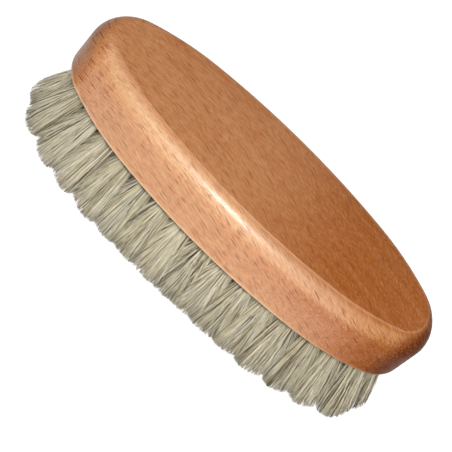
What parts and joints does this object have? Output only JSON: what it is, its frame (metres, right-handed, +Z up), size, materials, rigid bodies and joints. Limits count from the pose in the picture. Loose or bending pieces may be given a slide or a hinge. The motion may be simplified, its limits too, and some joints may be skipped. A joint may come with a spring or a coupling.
{
  "type": "shoe shine brush",
  "caption": "Oval lacquered beech block with a flat back and rounded shoulder, set underneath with splayed tufts of light horsehair for buffing shoes.",
  "frame": {"origin": "under the middle of the block, on the plane that the clipped hair tips stand on", "axes": "+X along the brush, +Y across it, +Z up through the flat back of the block"},
  "size_m": [0.175, 0.0684, 0.0511],
  "materials": {
    "lacquered_beech": "gloss lacquer",
    "horsehair": "natural grey-cream hair",
    "anchor_wire": "drawn wire"
  },
  "bodies": {
    "root": {"anchor_wires": "anchor_wire", "beech_block": "lacquered_beech", "centre_tuft_01": "horsehair", "centre_tuft_02": "horsehair", "centre_tuft_03": "horsehair", "centre_tuft_04": "horsehair", "centre_tuft_05": "horsehair", "centre_tuft_06": "horsehair", "centre_tuft_07": "horsehair", "centre_tuft_08": "horsehair", "centre_tuft_09": "horsehair", "centre_tuft_10": "horsehair", "far_tuft_01": "horsehair", "far_tuft_02": "horsehair", "far_tuft_03": "horsehair", "far_tuft_04": "horsehair", "far_tuft_05": "horsehair", "far_tuft_06": "horsehair", "far_tuft_07": "horsehair", "far_tuft_08": "horsehair", "near_tuft_01": "horsehair", "near_tuft_02": "horsehair", "near_tuft_03": "horsehair", "near_tuft_04": "horsehair", "near_tuft_05": "horsehair", "near_tuft_06": "horsehair", "near_tuft_07": "horsehair", "near_tuft_08": "horsehair", "outer_tuft_01": "horsehair", "outer_tuft_02": "horsehair", "outer_tuft_03": "horsehair", "outer_tuft_04": "horsehair", "outer_tuft_05": "horsehair", "outer_tuft_06": "horsehair", "outer_tuft_07": "horsehair", "outer_tuft_08": "horsehair", "outer_tuft_09": "horsehair", "outer_tuft_10": "horsehair", "outer_tuft_11": "horsehair", "outer_tuft_12": "horsehair", "outer_tuft_13": "horsehair", "outer_tuft_14": "horsehair", "outer_tuft_15": "horsehair", "outer_tuft_16": "horsehair", "outer_tuft_17": "horsehair", "outer_tuft_18": "horsehair", "outer_tuft_19": "horsehair", "outer_tuft_20": "horsehair", "outer_tuft_21": "horsehair", "outer_tuft_22": "horsehair", "outer_tuft_23": "horsehair", "outer_tuft_24": "horsehair", "outer_tuft_25": "horsehair", "outer_tuft_26": "horsehair", "outer_tuft_27": "horsehair", "outer_tuft_28": "horsehair", "outer_tuft_29": "horsehair", "outer_tuft_30": "horsehair", "outer_tuft_31": "horsehair", "outer_tuft_32": "horsehair"}
  },
  "joints": []
}
